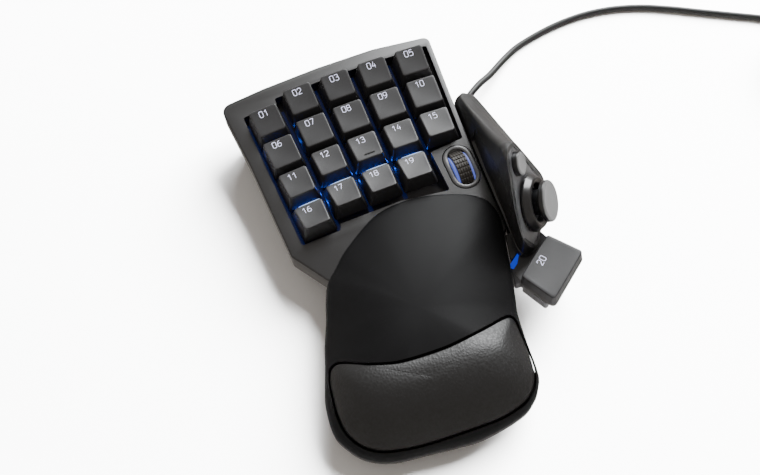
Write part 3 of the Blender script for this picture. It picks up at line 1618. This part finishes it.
def reach_at(angle):
    """How far the palm rest's outline lies from its middle at an angle."""
    count = len(PALM_REACH)
    for k in range(count):
        low = PALM_REACH[k - 1]
        high = PALM_REACH[k]
        start = low[0] - (2 * math.pi if k == 0 else 0)
        if start <= angle <= high[0]:
            t = (angle - start) / (high[0] - start)
            return low[1] + (high[1] - low[1]) * t
    low = PALM_REACH[-1]
    high = PALM_REACH[0]
    t = (angle - low[0]) / (high[0] + 2 * math.pi - low[0])
    return low[1] + (high[1] - low[1]) * t


def palm_edge(x, y):
    """The height of the palm rest's edge: high at the rear, low at the front."""
    share = (-y - (PALM_CENTRE_A - PALM_LENGTH / 2)) / PALM_LENGTH
    share = min(max(share, 0.0), 1.0)
    if share < PALM_MID_SHARE:
        return PALM_REAR_EDGE + (PALM_MID_EDGE - PALM_REAR_EDGE) * share / PALM_MID_SHARE
    t = (share - PALM_MID_SHARE) / (1 - PALM_MID_SHARE)
    return PALM_MID_EDGE + (PALM_FRONT_EDGE - PALM_MID_EDGE) * t


def palm_height(x, y):
    """The height of the palm rest's top: a crown that falls off to its edge."""
    away = Vector((x, y)) - PALM_MIDDLE
    share = min(1.0, away.length / reach_at(math.atan2(away.y, away.x)))
    edge = palm_edge(x, y)
    return edge + (PALM_CREST - edge) * (1 - share**PALM_CROWN_SHARE)


def palm_drawn(share):
    """The palm rest's outline drawn towards its middle."""
    return [tuple(PALM_MIDDLE + (Vector(p) - PALM_MIDDLE) * share) for p in PALM_OUTLINE]


def palm_rings(inset, drop, foot, foot_ring):
    """The palm rest's form moved in by the inset and down by the drop, standing on its foot."""
    side = palm_points(PALM_SHARES, inset)
    rim = palm_points(PALM_SHARES, inset + PALM_EDGE_ROUND)
    rings = [
        flat_ring(foot_ring, foot),
        flat_ring(side, lambda x, y: palm_edge(x, y) - PALM_SIDE),
        flat_ring(side, lambda x, y: palm_edge(x, y) - drop - PALM_EDGE_ROUND),
        flat_ring(rim, lambda x, y: palm_height(x, y) - drop),
    ]
    for q in PALM_RING_SHARES:
        ring = [tuple(PALM_MIDDLE + (Vector(p) - PALM_MIDDLE) * q) for p in rim]
        rings.append(flat_ring(ring, lambda x, y: palm_height(x, y) - drop))
    return rings


CUSHION_OUTLINE = palm_points(CUSHION_SHARES, 0.0, CUSHION_POINTS)
CUSHION_MIDDLE = Vector(
    (
        sum(p[0] for p in CUSHION_OUTLINE) / CUSHION_POINTS,
        sum(p[1] for p in CUSHION_OUTLINE) / CUSHION_POINTS,
    )
)

palm_rest = add_mesh(
    "palm_rest",
    loft(palm_rings(0.0, 0.0, PALM_BASE, inset_loop(PALM_OUTLINE, PALM_DRAW))),
    SOFT_COATING,
    PALM,
    smooth=True,
)
palm_hollow = add_mesh(
    "palm_hollow",
    loft(palm_rings(PALM_WALL, PALM_WALL, PALM_BASE - CUT, palm_drawn(PALM_HOLLOW_SHARE))),
    None,
    PALM,
)
seat_block = add_mesh(
    "seat_block",
    prism(inset_loop(CUSHION_OUTLINE, -CUSHION_FIT - PALM_WALL), CUSHION_SEAT - PALM_WALL, PALM_CREST + CUT),
    None,
    PALM,
)
cushion_seat = add_mesh(
    "cushion_seat",
    prism(inset_loop(CUSHION_OUTLINE, -CUSHION_FIT), CUSHION_SEAT, PALM_CREST + 2 * CUT),
    None,
    PALM,
)
case_relief = add_mesh(
    "case_relief",
    prism(
        corner_points(CASE_CORNERS, -PALM_CLEARANCE),
        -DECK_HEIGHT - CUT,
        CASE_TOP + FIT,
    ),
    None,
    DECK,
)
boolean(palm_hollow, "DIFFERENCE", seat_block)
boolean(palm_rest, "DIFFERENCE", palm_hollow)
boolean(palm_rest, "DIFFERENCE", cushion_seat)
boolean(palm_rest, "DIFFERENCE", case_relief)


# Cushion: drawn-in sides and a crown over the palm rest's own curve
def cushion_ring(share, height):
    """The cushion's outline drawn towards its middle."""
    ring = [tuple(CUSHION_MIDDLE + (Vector(p) - CUSHION_MIDDLE) * share) for p in CUSHION_OUTLINE]
    return flat_ring(ring, height)


def cushion_top(share):
    """The crown's height where the outline is drawn to a share of its size."""
    crown = CUSHION_EDGE_RISE + CUSHION_CROWN * (1 - share**CUSHION_CROWN_SHARE)
    return lambda x, y: palm_height(x, y) + crown


rings = [
    flat_ring(inset_loop(CUSHION_OUTLINE, 2 * CUSHION_BULGE), CUSHION_SEAT + FIT),
    flat_ring(
        inset_loop(CUSHION_OUTLINE, CUSHION_BULGE), lambda x, y: (CUSHION_SEAT + palm_height(x, y)) / 2
    ),
    flat_ring(CUSHION_OUTLINE, lambda x, y: palm_height(x, y) - 2 * CUSHION_EDGE_RISE),
]
rings += [cushion_ring(share, cushion_top(share)) for share in CUSHION_RING_SHARES]
add_mesh("palm_cushion", loft(rings), CUSHION_LEATHER, PALM, smooth=True)

# Palm base plate and its tongue
palm_base = add_mesh(
    "palm_base",
    prism(inset_loop(palm_drawn(PALM_HOLLOW_SHARE), FIT), TONGUE_LOW, TONGUE_HIGH),
    LOWER_PLASTIC,
    PALM,
)
base_relief = add_mesh(
    "base_relief",
    prism(
        corner_points(CASE_CORNERS, -2 * PALM_CLEARANCE),
        -DECK_HEIGHT - CUT,
        CASE_TOP + CUT,
    ),
    None,
    DECK,
)
tongue = add_mesh(
    "tongue",
    palm_box(TONGUE_LEFT, TONGUE_RIGHT, TONGUE_REAR_A, TONGUE_FRONT_A, TONGUE_LOW, TONGUE_HIGH),
    None,
    PALM,
)
boolean(palm_base, "DIFFERENCE", base_relief)
boolean(palm_base, "UNION", tongue)
PALM_FOOT_PLACES = [
    (PALM_CENTRE_R + r * PALM_WIDTH, -PALM_CENTRE_A - a * PALM_LENGTH) for r, a in PALM_FOOT_SHARES
]
for index, place in enumerate(PALM_FOOT_PLACES):
    add_mesh(
        "palm_foot_%d" % (index + 1),
        cylinders([place], FOOT_RADIUS, 0.0, TONGUE_LOW - FIT, ROUND),
        RUBBER,
        PALM,
        smooth=True,
    )

# Cable: strain relief, lead, coil and tie
RELIEF = frame(
    "cable_exit_frame",
    ROOT,
    (CABLE_EXIT_X, CABLE_EXIT_Y, CABLE_EXIT_HEIGHT),
    (0, math.pi / 2, CABLE_EXIT_TURN),
)
turned(
    "cable_strain_relief",
    [
        (CABLE_RADIUS + FIT, -RELIEF_INSIDE),
        (RELIEF_RADIUS, -RELIEF_INSIDE),
        (RELIEF_RADIUS, RELIEF_COLLAR_START),
        (RELIEF_COLLAR_RADIUS, RELIEF_COLLAR_START),
        (RELIEF_COLLAR_RADIUS, RELIEF_COLLAR_START + RELIEF_COLLAR),
        (RELIEF_RADIUS, RELIEF_COLLAR_START + RELIEF_COLLAR),
        (RELIEF_TIP_RADIUS, RELIEF_OUTSIDE),
        (CABLE_RADIUS + FIT, RELIEF_OUTSIDE),
    ],
    RUBBER,
    RELIEF,
    closed=True,
    sides=SMALL_ROUND,
)


def open_spline(points, step):
    """A smooth curve through the points, read at equal steps."""
    route = [Vector(p) for p in points]
    route = [route[0] * 2 - route[1]] + route + [route[-1] * 2 - route[-2]]
    dense = []
    fine = 20
    for i in range(1, len(route) - 2):
        p0, p1, p2, p3 = route[i - 1 : i + 3]
        for k in range(fine):
            t = k / fine
            dense.append(
                0.5
                * (
                    2 * p1
                    + (p2 - p0) * t
                    + (2 * p0 - 5 * p1 + 4 * p2 - p3) * t**2
                    + (3 * p1 - p0 - 3 * p2 + p3) * t**3
                )
            )
    dense.append(route[-2])
    spans = [(b - a).length for a, b in zip(dense, dense[1:])]
    whole = sum(spans)
    count = max(2, round(whole / step))
    result = []
    gone = 0.0
    index = 0
    for k in range(count):
        target = whole * k / count
        while gone + spans[index] < target:
            gone += spans[index]
            index += 1
        result.append(dense[index].lerp(dense[index + 1], (target - gone) / spans[index]))
    result.append(dense[-1])
    return result


def tube(name, points, radius, finish, parent, resolution):
    """A round tube along the points, as a curve with filled ends, made a mesh."""
    curve = bpy.data.curves.new(name, "CURVE")
    curve.dimensions = "3D"
    curve.bevel_depth = radius
    curve.bevel_resolution = resolution
    curve.use_fill_caps = True
    spline = curve.splines.new("POLY")
    spline.points.add(len(points) - 1)
    for point, place in zip(spline.points, points):
        point.co = (*place, 1.0)
        point.radius = 1.0
    spline.use_smooth = True
    made = bpy.data.objects.new(name, curve)
    parts.objects.link(made)
    curve.materials.append(finish)
    made.parent = parent
    return made


def coil_points():
    """The spare cable wound clockwise in layers, inwards and outwards by turns, and its straight tail."""
    places = []
    floor = COIL_LIFT + CABLE_RADIUS
    angle = COIL_START
    radius = COIL_OUTER
    height = floor
    step = 1.0 / LOOP_POINTS
    inwards = True
    places.append((radius, angle, height))
    for layer in range(COIL_LAYERS):
        last = layer == COIL_LAYERS - 1
        turns = COIL_LAST_TURNS if last else COIL_TURNS
        for k in range(round(turns * LOOP_POINTS)):
            angle -= 2 * math.pi * step
            radius += (-1 if inwards else 1) * COIL_PITCH * step
            places.append((radius, angle, height))
        inwards = not inwards
        if not last:
            climb = round(COIL_CLIMB_TURNS * LOOP_POINTS)
            for k in range(climb):
                angle -= 2 * math.pi * step
                share = (k + 1) / climb
                ease = share * share * (3 - 2 * share)
                places.append((radius, angle, height + COIL_PITCH * ease))
            height += COIL_PITCH
    points = [
        Vector((COIL_X + r * math.cos(a), COIL_Y + r * math.sin(a), z)) for r, a, z in places
    ]
    entry = Vector((math.sin(COIL_START), -math.cos(COIL_START), 0.0))
    points.insert(0, points[0] - entry * 2 * CABLE_RADIUS)
    way = Vector((math.sin(angle), -math.cos(angle), 0.0))
    leave = points[-1].copy()
    plug_height = PLUG_HEIGHT / 2
    for share, rise in zip(TAIL_WAY_SHARES, TAIL_HEIGHT_SHARES):
        place = leave + way * TAIL_LENGTH * share
        place.z = plug_height + (leave.z - plug_height) * rise
        points.append(place)
    return points, entry, way


def least_gap(points, radius, skip):
    """The least distance between stretches of a tube that aren't neighbours along it."""
    least = 1.0
    for i, a in enumerate(points):
        for j in range(i + skip, len(points) - 1):
            b = points[j]
            c = points[j + 1]
            span = c - b
            t = max(0.0, min(1.0, (a - b).dot(span) / span.length_squared))
            least = min(least, (a - (b + span * t)).length)
    return least - 2 * radius


COIL, ENTRY, TAIL_WAY = coil_points()
print("least gap of the coil to itself, mm: %.2f" % (1000 * least_gap(COIL, CABLE_RADIUS, LOOP_POINTS // 3)))
LEAD_END = COIL[0] - ENTRY * FIT
LEAD = open_spline(
    [Vector(place) for place in CABLE_ROUTE] + [LEAD_END - ENTRY * 4 * CABLE_RADIUS, LEAD_END], CABLE_STEP
)
print("length of the cable, m: %.2f" % sum((b - a).length for line in (LEAD, COIL) for a, b in zip(line, line[1:])))
tube("cable_lead", LEAD, CABLE_RADIUS, CABLE_JACKET, ROOT, 2)
tube("cable_coil", COIL, CABLE_RADIUS, CABLE_JACKET, ROOT, 1)

# Tie round the coil
TIE = frame("tie_frame", ROOT, (COIL_X, COIL_Y, 0), (0, 0, TIE_ANGLE))
TIE_IN = COIL_OUTER - COIL_PITCH * COIL_TURNS - CABLE_RADIUS - TIE_SLACK
TIE_OUT = COIL_OUTER + COIL_PITCH * (COIL_LAST_TURNS - COIL_TURNS) + CABLE_RADIUS + FIT
TIE_LOW = COIL_LIFT - FIT
TIE_HIGH = COIL_LIFT + 2 * CABLE_RADIUS + COIL_PITCH * (COIL_LAYERS - 1) + FIT


def tie_loop(extra):
    """The tie's opening in the plane of radius and height, moved out by extra."""
    return [
        (TIE_IN - extra, TIE_LOW - extra),
        (TIE_OUT + extra, TIE_LOW - extra),
        (TIE_OUT + extra, TIE_HIGH + extra),
        (TIE_IN - extra, TIE_HIGH + extra),
    ]


add_mesh(
    "cable_tie",
    loft(
        [
            [(x, -TIE_WIDTH / 2, z) for x, z in tie_loop(0.0)],
            [(x, TIE_WIDTH / 2, z) for x, z in tie_loop(0.0)],
            [(x, TIE_WIDTH / 2, z) for x, z in tie_loop(TIE_THICKNESS)],
            [(x, -TIE_WIDTH / 2, z) for x, z in tie_loop(TIE_THICKNESS)],
        ],
        closed=True,
    ),
    RUBBER,
    TIE,
)

# Plug: a moulded body and a metal shell, lying on the table
PLUG_TURN = math.atan2(TAIL_WAY.y, TAIL_WAY.x)
PLUG = frame("plug_frame", ROOT, COIL[-1] + TAIL_WAY * FIT, (0, 0, PLUG_TURN))
plug_section = corner_points(
    [
        (-PLUG_WIDTH / 2, -PLUG_HEIGHT / 2, PLUG_ROUND),
        (PLUG_WIDTH / 2, -PLUG_HEIGHT / 2, PLUG_ROUND),
        (PLUG_WIDTH / 2, PLUG_HEIGHT / 2, PLUG_ROUND),
        (-PLUG_WIDTH / 2, PLUG_HEIGHT / 2, PLUG_ROUND),
    ],
    0.0,
    2,
)


def plug_ring(way, share):
    """The plug body's section at a way along it, drawn to a share of its size."""
    return [(way, x * share, z * share) for x, z in plug_section]


add_mesh(
    "usb_plug_body",
    loft(
        [
            plug_ring(0.0, 0.7),
            plug_ring(PLUG_ROUND, 0.94),
            plug_ring(2 * PLUG_ROUND, 1.0),
            plug_ring(PLUG_LENGTH - PLUG_ROUND / 2, 1.0),
            plug_ring(PLUG_LENGTH, 0.94),
        ]
    ),
    CABLE_JACKET,
    PLUG,
    smooth=True,
)


def shell_ring(way, inset):
    """The metal shell's rectangle."""
    half = SHELL_WIDTH / 2 - inset
    rise = SHELL_HEIGHT / 2 - inset
    return [(way, -half, -rise), (way, half, -rise), (way, half, rise), (way, -half, rise)]


SHELL_START = PLUG_LENGTH + FIT
add_mesh(
    "usb_plug_shell",
    loft(
        [
            shell_ring(SHELL_START, 0.0),
            shell_ring(SHELL_START + SHELL_LENGTH, 0.0),
            shell_ring(SHELL_START + SHELL_LENGTH, SHELL_WALL),
            shell_ring(SHELL_START + 2 * SHELL_WALL, SHELL_WALL),
        ]
    ),
    STEEL,
    PLUG,
)
